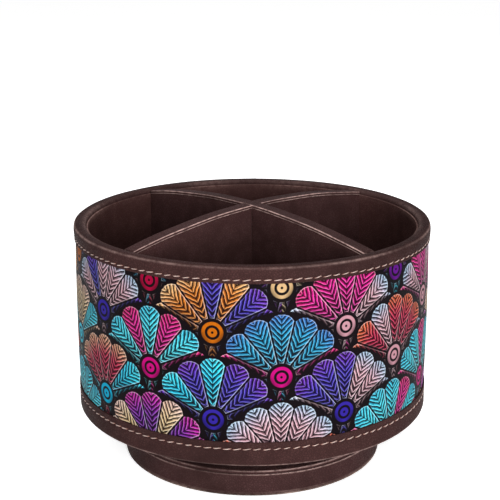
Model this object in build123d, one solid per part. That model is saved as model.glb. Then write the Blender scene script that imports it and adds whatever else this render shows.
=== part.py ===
"""Rotating pen holder: a leather-covered drum with four compartments that turns on a smaller round base.

Millimetres, +Z up. The origin is the centre of the base's underside, on the surface that it stands on.
The drum's four compartments face -Y, +X, +Y and -X. The two dividers cross on the axis.
Every sub-part is written to its own STEP file in parts/.
"""

from build123d import *

import os
from math import cos, radians, sin, sqrt

# Driving dimensions
DRUM_RADIUS = 80.0
RIM_Z = 109.0
DRUM_BOTTOM_Z = 23.4
BASE_RADIUS = 59.6
LEATHER = 0.8
GLUE_GAP = 0.03

# Drum wall, from the outside in
WALL_BOARD = 3.0
LINER_LEATHER = 0.7
PANEL_OUTER = DRUM_RADIUS - LEATHER
BOARD_OUTER = PANEL_OUTER - LEATHER
BOARD_INNER = BOARD_OUTER - WALL_BOARD
HEM_INNER = BOARD_INNER - LEATHER
LINER_INNER = HEM_INNER - LINER_LEATHER

# Folded leather strips round the drum
RIM_STRIP_LOW_Z = 102.1
RIM_HEM_LOW_Z = 95.0
RIM_OUTER_ROUND = 1.4
RIM_INNER_ROUND = 2.0
BOTTOM_STRIP_TOP_Z = 34.0
BOTTOM_ROUND = 1.4
LINER_BELOW_RIM = 2.2
LINER_TOP_Z = RIM_Z - LINER_BELOW_RIM
CARD_BELOW_HEM = 0.2

# Drum floor
FLOOR_BOARD = 6.0
FLOOR_LINING = 1.0
FLOOR_TOP_Z = DRUM_BOTTOM_Z + FLOOR_BOARD
LINING_PLAY = 0.2

# Crossing dividers, highest where they cross; the front and back compartments are the narrower ones
DIVIDER_THICKNESS = 6.0
DIVIDER_LEATHER = 0.9
DIVIDER_CROWN_Z = 115.4
DIVIDER_END_Z = 108.4
DIVIDER_REACH = sqrt((LINER_INNER - LINING_PLAY) ** 2 - (DIVIDER_THICKNESS / 2) ** 2)
FRONT_HALF_ANGLE = 42.0
SIDE_HALF_ANGLE = 90.0 - FRONT_HALF_ANGLE
DIVIDER_ANGLES = {"divider_one": SIDE_HALF_ANGLE, "divider_two": -SIDE_HALF_ANGLE}
COMPARTMENTS = {
    "right": (0, SIDE_HALF_ANGLE),
    "back": (90, FRONT_HALF_ANGLE),
    "left": (180, SIDE_HALF_ANGLE),
    "front": (270, FRONT_HALF_ANGLE),
}
EDGE_STRIP_DROP = 1.4
EDGE_STRIP_GAP = 0.15
HALF_LAP_Z = 70.0
HALF_LAP_PLAY = 0.1

# Base
BASE_PAD = 0.8
BASE_PAD_INSET = 0.2
BASE_PAD_RADIUS = BASE_RADIUS - BASE_PAD_INSET
BASE_BOARD = 9.0
BASE_BOARD_Z = BASE_PAD + LEATHER
BASE_BOARD_RADIUS = BASE_RADIUS - 2 * LEATHER
BASE_TOP_Z = BASE_BOARD_Z + BASE_BOARD + LEATHER
BASE_STRIP_BELOW_TOP = 1.5
BASE_STRIP_TOP_Z = BASE_TOP_Z - BASE_STRIP_BELOW_TOP
BASE_HEM_INNER = 54.0
BASE_HEM_PLAY = 0.1
BASE_SKIRT_LOW_Z = 5.0
BASE_ROUND = 1.2
BASE_FOOT_ROUND = 0.4

# Turntable bearing between the base and the drum
BEARING_HEIGHT = 8.0
BEARING_TOP_Z = BASE_TOP_Z + BEARING_HEIGHT
PLATE = 2.0
PLATE_RADIUS = 40.0
RACE_RADIUS = 29.0
BALL_RADIUS = 2.5
BALL_COUNT = 18
RACE_PLAY = 0.05
CAGE = 1.4
CAGE_HALF_WIDTH = 3.4
POCKET_PLAY = 0.1
RACE_Z = BASE_TOP_Z + BEARING_HEIGHT / 2

# Centre rivet and the bush that turns on it
RIVET_RADIUS = 4.0
RIVET_FOOT_RADIUS = 8.0
RIVET_HEAD_RADIUS = 7.5
RIVET_HEAD = 1.0
RIVET_FOOT_RECESS = 1.0
BUSH_OUTER = 6.0
BUSH_FLANGE_RADIUS = 8.0
BUSH_FLANGE = 0.6
RUNNING_PLAY = 0.05
END_PLAY = 0.1

# Mounting disc and cover under the drum
UNDER_COVER = 0.6
UNDER_COVER_RADIUS = 77.0
MOUNT_DISC_RADIUS = 46.0
MOUNT_DISC_BORE = 10.0
MOUNT_DISC_TOP_Z = DRUM_BOTTOM_Z - UNDER_COVER

# Countersunk screws that hold the bearing to the drum and to the base
SCREW_RADIUS = 2.0
SCREW_HEAD_RADIUS = 4.0
SCREW_HEAD = 2.0
SCREW_CIRCLE = 19.0
SCREW_SUNK = 0.1
SCREW_TIP = 0.5
SCREW_HOLE_PLAY = 0.1
CROSS_SLOT = (4.2, 0.9, 1.1)
DRUM_SCREW_ANGLES = (0.0, 90.0, 180.0, 270.0)
BASE_SCREW_ANGLES = (45.0, 135.0, 225.0, 315.0)

# Larger than the whole object, for cutting shapes
REACH = 400.0


def disc(radius, low, high):
    """Plain disc on the Z axis."""
    return Pos(0, 0, low) * Cylinder(radius, high - low, align=(Align.CENTER, Align.CENTER, Align.MIN))


def tube(outer, inner, low, high):
    """Plain tube on the Z axis."""
    return disc(outer, low, high) - disc(inner, low - 1, high + 1)


def turned(outline):
    """Solid of revolution about Z of a closed outline drawn as (radius, height)."""
    return revolve(make_face(Plane.XZ * outline), Axis.Z)


def folded_strip(fold_line, radii):
    """Ring of leather: its section is a fold line with rounded corners, thickened to the line's left."""
    path = FilletPolyline(*fold_line, radius=radii)
    return turned(offset(path, LEATHER, side=Side.LEFT))


def polar(radius, angle, height):
    """Place on a circle round the Z axis, with the angle in degrees from +X."""
    return Pos(radius * cos(radians(angle)), radius * sin(radians(angle)), height)


def drum_wall_board():
    """Board tube that stiffens the drum, with its rim eased for the leather to fold over."""
    top = RIM_Z - LEATHER
    low = DRUM_BOTTOM_Z + LEATHER
    ease = [RIM_INNER_ROUND - LEATHER, RIM_OUTER_ROUND - LEATHER]
    outline = FilletPolyline(
        (BOARD_INNER, low), (BOARD_INNER, top), (BOARD_OUTER, top), (BOARD_OUTER, low), radius=ease
    )
    outline += Line((BOARD_OUTER, low), (BOARD_INNER, low))
    return turned(outline)


def rim_binding():
    """Leather strip folded over the rim: a sewn outer leg, the rim itself and a hem glued inside."""
    fold_line = [
        (DRUM_RADIUS, RIM_STRIP_LOW_Z),
        (DRUM_RADIUS, RIM_Z),
        (HEM_INNER, RIM_Z),
        (HEM_INNER, RIM_HEM_LOW_Z),
    ]
    return folded_strip(fold_line, [RIM_OUTER_ROUND, RIM_INNER_ROUND])


def bottom_binding():
    """Leather strip round the foot of the drum, folded under the wall."""
    fold_line = [
        (BOARD_INNER + GLUE_GAP, DRUM_BOTTOM_Z),
        (DRUM_RADIUS, DRUM_BOTTOM_Z),
        (DRUM_RADIUS, BOTTOM_STRIP_TOP_Z),
    ]
    return folded_strip(fold_line, [BOTTOM_ROUND])


def printed_panel():
    """Printed leather sheet wrapped round the board, its two edges under the sewn strips."""
    low = DRUM_BOTTOM_Z + LEATHER + BOTTOM_ROUND / 2
    high = RIM_Z - RIM_OUTER_ROUND
    return tube(PANEL_OUTER - GLUE_GAP, BOARD_OUTER + GLUE_GAP, low, high)


def liner_card():
    """Thin card tube that carries the inner leather below the rim hem."""
    return tube(BOARD_INNER - GLUE_GAP, HEM_INNER + GLUE_GAP, FLOOR_TOP_Z, RIM_HEM_LOW_Z - CARD_BELOW_HEM)


def inner_liner():
    """Leather liner of the drum, which hides the rim hem and ends just below the rim."""
    return tube(HEM_INNER - GLUE_GAP, LINER_INNER, FLOOR_TOP_Z, LINER_TOP_Z)


def countersunk_hole(angle, face_z, direction, length):
    """Cutter for one screw hole, from the face that its head sits in."""
    play = SCREW_HOLE_PLAY
    low, high = sorted((face_z - direction, face_z + direction * length))
    shank = disc(SCREW_RADIUS + play, low, high)
    wide, narrow = SCREW_HEAD_RADIUS + play, SCREW_RADIUS + play
    sink = Pos(0, 0, face_z + direction * SCREW_HEAD / 2) * Cone(
        wide if direction > 0 else narrow, narrow if direction > 0 else wide, SCREW_HEAD
    )
    return polar(SCREW_CIRCLE, angle, 0) * (shank + sink)


def plain_hole(angle, play):
    """Cutter for one straight screw hole through everything."""
    return polar(SCREW_CIRCLE, angle, 0) * disc(SCREW_RADIUS + play, -REACH, REACH)


def screw(angle, head_z, direction, tip_z):
    """One countersunk cross-head screw that points along +Z or -Z."""
    low, high = sorted((head_z, tip_z))
    shank = disc(SCREW_RADIUS, low, high)
    wide, narrow = (SCREW_HEAD_RADIUS, SCREW_RADIUS) if direction > 0 else (SCREW_RADIUS, SCREW_HEAD_RADIUS)
    head = Pos(0, 0, head_z + direction * SCREW_HEAD / 2) * Cone(wide, narrow, SCREW_HEAD)
    length, width, depth = CROSS_SLOT
    slot = Pos(0, 0, head_z) * (Box(length, width, 2 * depth) + Box(width, length, 2 * depth))
    return polar(SCREW_CIRCLE, angle, 0) * (shank + head - slot)


def drum_floor_board():
    """Floor disc inside the drum, countersunk for the screws that reach down to the bearing."""
    board = disc(BOARD_INNER - GLUE_GAP, DRUM_BOTTOM_Z, FLOOR_TOP_Z)
    for angle in DRUM_SCREW_ANGLES:
        board -= countersunk_hole(angle, FLOOR_TOP_Z, -1, FLOOR_BOARD + 1)
    return board


def floor_lining(angle, half_angle):
    """Floor lining of the compartment that faces that angle, between two dividers."""
    clear = DIVIDER_THICKNESS / 2 + LINING_PLAY
    lining = disc(LINER_INNER - LINING_PLAY, FLOOR_TOP_Z, FLOOR_TOP_Z + FLOOR_LINING)
    for side in (-1, 1):
        inside = Pos(0, -side * (REACH / 2 + clear), 0) * Box(REACH, REACH, REACH)
        lining = lining & Rot(0, 0, angle + side * half_angle) * inside
    return lining


def divider_slice(drop, half_low, half_high):
    """Upright slice along X under the arched top edge, lowered by drop, between two distances from X."""
    low = FLOOR_TOP_Z
    reach, end = DIVIDER_REACH, DIVIDER_END_Z - drop
    outline = Polyline((-reach, end), (-reach, low), (reach, low), (reach, end))
    outline += ThreePointArc((reach, end), (0, DIVIDER_CROWN_Z - drop), (-reach, end))
    face = make_face(Plane.XZ * outline)
    return Pos(0, half_high, 0) * extrude(face, half_high - half_low, dir=(0, -1, 0))


def half_lap_cutter(crossing, slot_opens_up):
    """Cutter for the slot in which the other divider stands, at the crossing angle."""
    width = DIVIDER_THICKNESS + 2 * HALF_LAP_PLAY
    low, high = (HALF_LAP_Z, REACH) if slot_opens_up else (-REACH, HALF_LAP_Z + HALF_LAP_PLAY)
    return Pos(0, 0, (low + high) / 2) * Rot(0, 0, crossing) * Box(REACH, width, high - low)


def divider(crossing, slot_opens_up):
    """Board, folded edge strip and two face sheets of one divider, standing along X."""
    half = DIVIDER_THICKNESS / 2
    half_board = half - DIVIDER_LEATHER
    slot = half_lap_cutter(crossing, slot_opens_up)
    face_top = EDGE_STRIP_DROP + EDGE_STRIP_GAP
    board = divider_slice(DIVIDER_LEATHER, -half_board, half_board)
    below_strip = divider_slice(EDGE_STRIP_DROP, -half, half)
    strip = divider_slice(0, -half, half) - below_strip - board
    return {
        "board": board - slot,
        "edge_strip": strip - slot,
        "face_left": divider_slice(face_top, half_board, half) - slot,
        "face_right": divider_slice(face_top, -half, -half_board) - slot,
    }


def underside_cover():
    """Thin sheet glued under the drum, over the hem and the floor board."""
    sheet = disc(UNDER_COVER_RADIUS, MOUNT_DISC_TOP_Z, DRUM_BOTTOM_Z)
    for angle in DRUM_SCREW_ANGLES:
        sheet -= plain_hole(angle, SCREW_HOLE_PLAY)
    return sheet


def mounting_disc():
    """Board disc between the drum and the bearing, bored for the rivet head."""
    plate = tube(MOUNT_DISC_RADIUS, MOUNT_DISC_BORE, BEARING_TOP_Z, MOUNT_DISC_TOP_Z)
    for angle in DRUM_SCREW_ANGLES:
        plate -= plain_hole(angle, SCREW_HOLE_PLAY)
    return plate


def race():
    """Ring-shaped cutter for the ball groove of both bearing plates."""
    return Pos(0, 0, RACE_Z) * Torus(RACE_RADIUS, BALL_RADIUS + RACE_PLAY)


def bearing_lower_plate():
    """Grooved steel plate screwed to the base, recessed below for the rivet's foot."""
    plate = tube(PLATE_RADIUS, RIVET_RADIUS + GLUE_GAP, BASE_TOP_Z, BASE_TOP_Z + PLATE) - race()
    plate -= disc(RIVET_FOOT_RADIUS + 1, BASE_TOP_Z - 1, BASE_TOP_Z + RIVET_FOOT_RECESS)
    for angle in BASE_SCREW_ANGLES:
        plate -= plain_hole(angle, RUNNING_PLAY)
    return plate


def bearing_upper_plate():
    """Grooved steel plate screwed to the drum, bored for the bush."""
    plate = tube(PLATE_RADIUS, BUSH_OUTER + GLUE_GAP, BEARING_TOP_Z - PLATE, BEARING_TOP_Z) - race()
    for angle in DRUM_SCREW_ANGLES:
        plate -= plain_hole(angle, RUNNING_PLAY)
    return plate


def pivot_bush():
    """Flanged plastic bush in the upper plate, which turns on the rivet."""
    bore = RIVET_RADIUS + RUNNING_PLAY
    sleeve = tube(BUSH_OUTER, bore, BEARING_TOP_Z - PLATE, BEARING_TOP_Z)
    return sleeve + tube(BUSH_FLANGE_RADIUS, bore, BEARING_TOP_Z, BEARING_TOP_Z + BUSH_FLANGE)


def centre_rivet():
    """Rivet that holds the two plates together and is the axis of the turntable."""
    foot_z = BASE_TOP_Z + RIVET_FOOT_RECESS
    head_z = BEARING_TOP_Z + BUSH_FLANGE + END_PLAY
    foot = disc(RIVET_FOOT_RADIUS, BASE_TOP_Z + RUNNING_PLAY, foot_z)
    return foot + disc(RIVET_RADIUS, foot_z, head_z) + disc(RIVET_HEAD_RADIUS, head_z, head_z + RIVET_HEAD)


def ball_places():
    """Places of the balls round the race."""
    return [polar(RACE_RADIUS, 360 * number / BALL_COUNT, RACE_Z) for number in range(BALL_COUNT)]


def bearing_balls():
    """All the balls of the race, as separate solids."""
    return Compound([place * Sphere(BALL_RADIUS) for place in ball_places()])


def ball_cage():
    """Flat ring with a pocket for every ball."""
    outer, inner = RACE_RADIUS + CAGE_HALF_WIDTH, RACE_RADIUS - CAGE_HALF_WIDTH
    ring = tube(outer, inner, RACE_Z - CAGE / 2, RACE_Z + CAGE / 2)
    for place in ball_places():
        ring -= place * Cylinder(BALL_RADIUS + POCKET_PLAY, 2 * CAGE)
    return ring


def base_board():
    """Round board of the base, countersunk below for the screws that reach up to the bearing."""
    board = disc(BASE_BOARD_RADIUS - GLUE_GAP, BASE_BOARD_Z, BASE_BOARD_Z + BASE_BOARD)
    for angle in BASE_SCREW_ANGLES:
        board -= countersunk_hole(angle, BASE_BOARD_Z, 1, BASE_BOARD + 1)
    return board


def base_top_cover():
    """Leather cover of the base, folded down over its edge."""
    outer = BASE_RADIUS - LEATHER - GLUE_GAP
    inner = BASE_BOARD_RADIUS
    under = BASE_TOP_Z - LEATHER
    outline = FilletPolyline(
        (outer, BASE_SKIRT_LOW_Z), (outer, BASE_TOP_Z), (0, BASE_TOP_Z), radius=BASE_ROUND
    )
    outline += Polyline(
        (0, BASE_TOP_Z), (0, under), (inner, under), (inner, BASE_SKIRT_LOW_Z), (outer, BASE_SKIRT_LOW_Z)
    )
    cover = turned(outline)
    for angle in BASE_SCREW_ANGLES:
        cover -= plain_hole(angle, SCREW_HOLE_PLAY)
    return cover


def base_side_strip():
    """Leather strip round the base, glued over the cover's skirt and folded under the board."""
    over_skirt = BASE_RADIUS - LEATHER
    outline = FilletPolyline(
        (BASE_HEM_INNER, BASE_PAD),
        (BASE_RADIUS, BASE_PAD),
        (BASE_RADIUS, BASE_STRIP_TOP_Z),
        radius=BASE_FOOT_ROUND,
    )
    outline += Polyline(
        (BASE_RADIUS, BASE_STRIP_TOP_Z),
        (over_skirt, BASE_STRIP_TOP_Z),
        (over_skirt, BASE_SKIRT_LOW_Z),
        (BASE_BOARD_RADIUS, BASE_SKIRT_LOW_Z),
        (BASE_BOARD_RADIUS, BASE_BOARD_Z),
        (BASE_HEM_INNER, BASE_BOARD_Z),
        (BASE_HEM_INNER, BASE_PAD),
    )
    return turned(outline)


def base_pad():
    """Soft sheet that the holder stands on, thinner where it covers the hem. Its edge shows."""
    raised = disc(BASE_HEM_INNER - BASE_HEM_PLAY, BASE_PAD, BASE_BOARD_Z)
    return disc(BASE_PAD_RADIUS, 0, BASE_PAD) + raised


def screw_set(angles, head_z, direction, tip_z):
    """Four equal screws as separate solids."""
    return Compound([screw(angle, head_z, direction, tip_z) for angle in angles])


def all_parts():
    """Every sub-part of the holder by name."""
    parts = {
        "base_pad": base_pad(),
        "base_board": base_board(),
        "base_top_cover": base_top_cover(),
        "base_side_strip": base_side_strip(),
        "base_screws": screw_set(
            BASE_SCREW_ANGLES, BASE_BOARD_Z + SCREW_SUNK, 1, BASE_TOP_Z + PLATE + SCREW_TIP
        ),
        "bearing_lower_plate": bearing_lower_plate(),
        "centre_rivet": centre_rivet(),
        "bearing_balls": bearing_balls(),
        "ball_cage": ball_cage(),
        "bearing_upper_plate": bearing_upper_plate(),
        "pivot_bush": pivot_bush(),
        "mounting_disc": mounting_disc(),
        "drum_screws": screw_set(
            DRUM_SCREW_ANGLES, FLOOR_TOP_Z - SCREW_SUNK, -1, BEARING_TOP_Z - PLATE - SCREW_TIP
        ),
        "underside_cover": underside_cover(),
        "drum_floor_board": drum_floor_board(),
        "drum_wall_board": drum_wall_board(),
        "printed_panel": printed_panel(),
        "rim_binding": rim_binding(),
        "bottom_binding": bottom_binding(),
        "liner_card": liner_card(),
        "inner_liner": inner_liner(),
    }
    for side, (angle, half_angle) in COMPARTMENTS.items():
        parts[f"floor_lining_{side}"] = floor_lining(angle, half_angle)
    for name, angle in DIVIDER_ANGLES.items():
        for piece, shape in divider(-2 * angle, slot_opens_up=name == "divider_one").items():
            parts[f"{name}_{piece}"] = Rot(0, 0, angle) * shape
    return parts


if __name__ == "__main__":
    os.makedirs("parts", exist_ok=True)
    for node, shape in all_parts().items():
        export_step(shape, f"parts/{node}.step")
    print("sub-parts written:", len(os.listdir("parts")))
    print("height at the divider crown:", DIVIDER_CROWN_Z, "overall diameter:", 2 * DRUM_RADIUS)
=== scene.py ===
# %% [markdown]
# # A rotating pen holder
#
# The object is a desk organizer: a drum covered in brown leather, with a printed sheet round its middle
# and two crossing dividers inside, which turns on a smaller round base. The solid model already holds
# every piece at its real size and place. This lesson dresses it: leather with sewn edges, a printed
# pattern, thread, card and steel. The solids could be painted as they are, but leather has soft folds
# and pulled seams that plain solids lack, so each leather piece is made again as a surface and stands
# in for its solid.

# %% Load the solid model
from math import pi, radians

import bmesh
import bpy
import numpy as np
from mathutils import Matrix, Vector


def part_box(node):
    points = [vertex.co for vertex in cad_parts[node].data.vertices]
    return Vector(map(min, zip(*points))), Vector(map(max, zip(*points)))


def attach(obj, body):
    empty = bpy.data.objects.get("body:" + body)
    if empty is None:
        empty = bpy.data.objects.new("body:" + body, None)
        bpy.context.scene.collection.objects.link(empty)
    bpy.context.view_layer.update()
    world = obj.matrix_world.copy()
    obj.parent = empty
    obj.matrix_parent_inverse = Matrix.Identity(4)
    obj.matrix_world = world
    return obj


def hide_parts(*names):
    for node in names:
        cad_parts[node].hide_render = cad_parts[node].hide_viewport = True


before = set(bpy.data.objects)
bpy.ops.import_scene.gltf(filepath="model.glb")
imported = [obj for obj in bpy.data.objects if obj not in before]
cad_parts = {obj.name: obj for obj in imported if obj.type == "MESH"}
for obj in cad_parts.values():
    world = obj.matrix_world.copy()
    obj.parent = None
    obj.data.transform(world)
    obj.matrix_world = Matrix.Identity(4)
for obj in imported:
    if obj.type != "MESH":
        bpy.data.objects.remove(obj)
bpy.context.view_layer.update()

# %% [markdown]
# ## Measures
#
# Sizes are read from the boxes of the solids, so that a new surface always sits on what carries it.
# They could be typed in again, but then a change of the solid model would leave the leather behind.
# The model is in metres. Leather is easier to think about in millimetres, so the shapes below are
# worked out in millimetres and scaled once, when a mesh is made. Values that no box can give, such as
# how thick a leather is, are written by name.

# %% Read the measures from the solids
MM = 0.001
LEATHER = 0.8
LINER_LEATHER = 0.7


def low_of(node, axis=2):
    """Lowest coordinate of a node's box along an axis, in millimetres."""
    return round(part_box(node)[0][axis] / MM, 2)


def high_of(node, axis=2):
    """Highest coordinate of a node's box along an axis, in millimetres."""
    return round(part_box(node)[1][axis] / MM, 2)


drum_radius = high_of("rim_binding", 0)
rim_top = high_of("rim_binding")
drum_bottom = low_of("bottom_binding")
floor_top = low_of("inner_liner")
wall_inside = high_of("drum_floor_board", 0)
hem_inside = wall_inside - LEATHER
liner_inside = hem_inside - LINER_LEATHER
print("drum", 2 * drum_radius, "mm wide, rim at", rim_top, "mm, liner radius", round(liner_inside, 2), "mm")

# %% [markdown]
# ## Surfaces from arrays
#
# A leather strip is a narrow closed section carried along a path: round the drum, round the base or
# along a divider. A modifier such as Screw could carry it, but then a pulled stitch or a lapped seam
# would be hard to add. So each piece is a grid of points worked out with numpy, one row for each place
# along the path and one column for each point of the section. `skin` turns such a grid into a mesh of
# quads and turns its faces outwards.

# %% Turn a grid of points into a mesh
def lay_chart(mesh, rows_at, columns_at):
    """Flat chart of one grid: each corner of a quad takes its row's and column's place on the sheet."""
    row, column = np.meshgrid(np.arange(len(rows_at) - 1), np.arange(len(columns_at) - 1), indexing="ij")
    across = np.stack([rows_at[row], rows_at[row + 1], rows_at[row + 1], rows_at[row]], axis=-1)
    low, high = columns_at[column], columns_at[column + 1]
    up = np.stack([low, low, high, high], axis=-1)
    flat = np.stack([across, up], axis=-1).ravel() * MM
    mesh.uv_layers.new(name="Wrap").data.foreach_set("uv", flat.astype(np.float32))


def face_outwards(mesh):
    """Turn a closed mesh's faces round if its signed volume is negative, and say whether that was needed."""
    test = bmesh.new()
    test.from_mesh(mesh)
    inside_out = test.calc_volume(signed=True) < 0
    test.free()
    if inside_out:
        mesh.flip_normals()
    return inside_out


def skin(name, shells, wrap_rows=False, close_ends=False, marks=None, chart=None):
    """Mesh of equal grids of points in millimetres, shaped (shells, rows, columns, 3).

    Four neighbours of a grid make a quad. Columns close on themselves, and so do rows if wrap_rows is set;
    close_ends puts one face on the first and last row. marks are named values for each point, and chart gives
    the place of each row and column on the flat sheet, for a pattern that follows it.
    """
    shells = np.asarray(shells, float)
    columns = shells.shape[2]
    number = np.arange(shells[..., 0].size).reshape(shells.shape[:3])
    near = number if wrap_rows else number[:, :-1]
    far = np.roll(number, -1, axis=1) if wrap_rows else number[:, 1:]
    corners_of_quads = [near, far, np.roll(far, -1, axis=2), np.roll(near, -1, axis=2)]
    quads = np.stack(corners_of_quads, axis=-1).reshape(-1, 4)
    caps = np.zeros((0, columns), int)
    if close_ends:
        caps = np.concatenate([number[:, 0], number[:, -1, ::-1]])
    corners = np.concatenate([quads.ravel(), caps.ravel()])
    sides = np.concatenate([np.full(len(quads), 4), np.full(len(caps), columns)])
    mesh = bpy.data.meshes.new(name)
    mesh.vertices.add(number.size)
    mesh.vertices.foreach_set("co", (shells * MM).ravel())
    mesh.loops.add(len(corners))
    mesh.loops.foreach_set("vertex_index", corners)
    mesh.polygons.add(len(sides))
    mesh.polygons.foreach_set("loop_start", np.cumsum(sides) - sides)
    mesh.polygons.foreach_set("loop_total", sides)
    mesh.polygons.foreach_set("use_smooth", sides == 4)
    for label, values in (marks or {}).items():
        full = np.broadcast_to(values, number.shape).astype(np.float32)
        mesh.attributes.new(label, "FLOAT", "POINT").data.foreach_set("value", full.ravel())
    if chart:
        lay_chart(mesh, *chart)
    mesh.update(calc_edges=True)
    inside_out = face_outwards(mesh)
    piece = bpy.data.objects.new(name, mesh)
    bpy.context.scene.collection.objects.link(piece)
    print(name, "faces:", len(sides), "turned outwards" if inside_out else "")
    return piece


# %% [markdown]
# A fold in leather is a line with rounded corners, and its section is that line given a thickness. The
# cut edges of the leather are rubbed round. A bevel could round them too, but it would round every edge
# alike. Two short functions make the line and the section for every strip on the object.

# %% Fold lines and sections
ARC_STEPS = 8
EDGE_STEPS = 5
EDGE_ROUND = 0.15


def fold_line(corners, radii, run_steps):
    """Points of a line through the corners, with each inner corner rounded.

    At a corner that turns by t with radius r, the arc starts r * tan(t / 2) before the corner, and its points
    stand at equal angles round a centre r to the side of the incoming run.
    """
    corners = np.asarray(corners, float)
    ways = np.diff(corners, axis=0)
    ways /= np.hypot(*ways.T)[:, None]
    stretches = []
    start = corners[0]
    for corner, come, leave, radius, steps in zip(corners[1:-1], ways[:-1], ways[1:], radii, run_steps):
        turn = np.arctan2(come[0] * leave[1] - come[1] * leave[0], come @ leave)
        arc_start = corner - radius * np.tan(abs(turn) / 2) * come
        centre = arc_start + radius * np.sign(turn) * np.array([-come[1], come[0]])
        angle = np.linspace(0, turn, ARC_STEPS)
        spoke = arc_start - centre
        swung_x = spoke[0] * np.cos(angle) - spoke[1] * np.sin(angle)
        swung_y = spoke[0] * np.sin(angle) + spoke[1] * np.cos(angle)
        arc = centre + np.stack([swung_x, swung_y], axis=1)
        stretches += [np.linspace(start, arc_start, steps, endpoint=False), arc[:-1]]
        start = arc[-1]
    stretches.append(np.linspace(start, corners[-1], run_steps[-1]))
    return np.concatenate(stretches)


def leather_section(line, thickness):
    """Closed section of a strip, and how much each of its points belongs to the outer face.

    The outer face is the line, the inner face is the line moved to its left by the thickness, and each
    cut edge is a low half ellipse between them. The second result is 1 on the outer face and 0 on the
    inner face.
    """
    along = np.gradient(line, axis=0)
    along /= np.hypot(*along.T)[:, None]
    left = np.stack([-along[:, 1], along[:, 0]], axis=1)
    inner = line + thickness * left
    swing = np.linspace(0, pi, EDGE_STEPS + 2)[1:-1, None]
    reach, rise = np.cos(swing), EDGE_ROUND * np.sin(swing)
    middle_end = (line[-1] + inner[-1]) / 2
    edge_end = middle_end + (line[-1] - middle_end) * reach + along[-1] * rise
    middle_start = (line[0] + inner[0]) / 2
    edge_start = middle_start + (inner[0] - middle_start) * reach - along[0] * rise
    share = (1 + reach[:, 0]) / 2
    outside = np.concatenate([np.ones(len(line)), share, np.zeros(len(inner)), share[::-1]])
    return np.concatenate([line, edge_end, inner[::-1], edge_start]), outside


print("points to a fold:", ARC_STEPS, "and to a cut edge:", EDGE_STEPS)

# %% [markdown]
# A strip round the drum is a section carried round the axis. Real leather is never quite even, so the
# radius gets a small swell: slow waves from the hand that pulled it tight, and a lapped joint at the
# back where the strip's two ends meet. A noise texture could move the surface instead, but it would not
# know where the joint is. The angles are closer together beside that joint, so that its step is crisp.

# %% Carry a section round the axis
BACK_SEAM = pi / 2
BESIDE_SEAM = np.array([-0.012, -0.005, -0.002, -0.0004, 0.0004, 0.002, 0.005, 0.012])
LAP_HEIGHT = 0.35
LAP_ANGLE = 0.11


def round_angles(steps):
    """Angles of one turn, evenly spaced, with a few more beside the seam at the back."""
    even = np.linspace(0, 2 * pi, steps, endpoint=False)
    clear = np.abs(even - BACK_SEAM) > 2 * BESIDE_SEAM[-1]
    return np.sort(np.concatenate([even[clear], BACK_SEAM + BESIDE_SEAM]))


def unevenness(angle, height, phase, amount=0.06):
    """Slow waves in millimetres: three sines round the axis, whose phase drifts with the height."""
    wave = np.sin(5 * angle + phase + 0.03 * height) + 0.7 * np.sin(11 * angle - 2.1 * phase + 0.05 * height)
    return amount * (wave + 0.5 * np.sin(23 * angle + 3.3 * phase - 0.08 * height))


def lapped_joint(angle):
    """Height of the lapped end: full just past the back seam, fading to nothing over the lap's length."""
    past = (angle - BACK_SEAM) / LAP_ANGLE
    return np.where(past > 0, LAP_HEIGHT * np.clip(1 - past, 0, 1) ** 1.5, 0.0)


def ring(section, angle, swell):
    """Section carried round the axis.

    A point at radius r and height z, with a swell s at angle a, goes to ((r + s) cos a, (r + s) sin a, z).
    """
    radius = section[None, :, 0] + swell
    x, y = radius * np.cos(angle[:, None]), radius * np.sin(angle[:, None])
    return np.stack(np.broadcast_arrays(x, y, section[None, :, 1]), axis=-1)[None]


def round_strip(name, section, angle, swell, fold):
    """Closed strip round the axis, with its rubbed folds marked."""
    return skin(name, ring(section, angle, swell), wrap_rows=True, marks={"fold": fold})


def bell(distance, width):
    """Bell curve: 1 at no distance, falling off over the width."""
    return np.exp(-((distance / width) ** 2))


print("lapped joint:", LAP_HEIGHT, "mm high, over", round(LAP_ANGLE * drum_radius, 1), "mm of the strip")

# %% [markdown]
# ## Shader helpers
#
# A material in Blender is a small network of nodes. It could be wired by hand in the shader editor, but
# code can be read and changed. Building it is clearer with a function that adds a node and plugs its
# inputs in one line. Colours are written as the six-digit codes that a paint program shows, and turned
# into the linear values that the shader works with.

# %% Add nodes in one line
def paint(code):
    """Linear colour of a six-digit code: each channel goes through the standard display curve."""
    shown = np.array([int(code[i:i + 2], 16) for i in (0, 2, 4)]) / 255
    linear = np.where(shown <= 0.04045, shown / 12.92, ((shown + 0.055) / 1.055) ** 2.4)
    return (*linear.tolist(), 1.0)


def plug(tree, node, inputs):
    """Give each named input of a node a plain value or another node's output."""
    for key, value in inputs.items():
        if isinstance(value, bpy.types.NodeSocket):
            tree.links.new(value, node.inputs[key])
        else:
            node.inputs[key].default_value = value


def add(tree, kind, inputs=None, **settings):
    """New shader node with its settings and inputs."""
    node = tree.nodes.new("ShaderNode" + kind)
    for key, value in settings.items():
        setattr(node, key, value)
    plug(tree, node, inputs or {})
    return node


def new_material(name):
    """Material with a fresh Principled shader: the material, its node tree and the shader's inputs."""
    material = bpy.data.materials.new(name)
    material.use_nodes = True
    tree = material.node_tree
    tree.nodes.clear()
    shader = tree.nodes.new("ShaderNodeBsdfPrincipled")
    output = tree.nodes.new("ShaderNodeOutputMaterial")
    tree.links.new(shader.outputs[0], output.inputs[0])
    return material, tree, shader.inputs


print("middle grey 808080 in linear light:", round(paint("808080")[0], 3))


# %% Arithmetic on values and colours
def maths(tree, operation, first, second=0.0):
    """Result of one arithmetic node."""
    return add(tree, "Math", {0: first, 1: second}, operation=operation).outputs[0]


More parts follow.
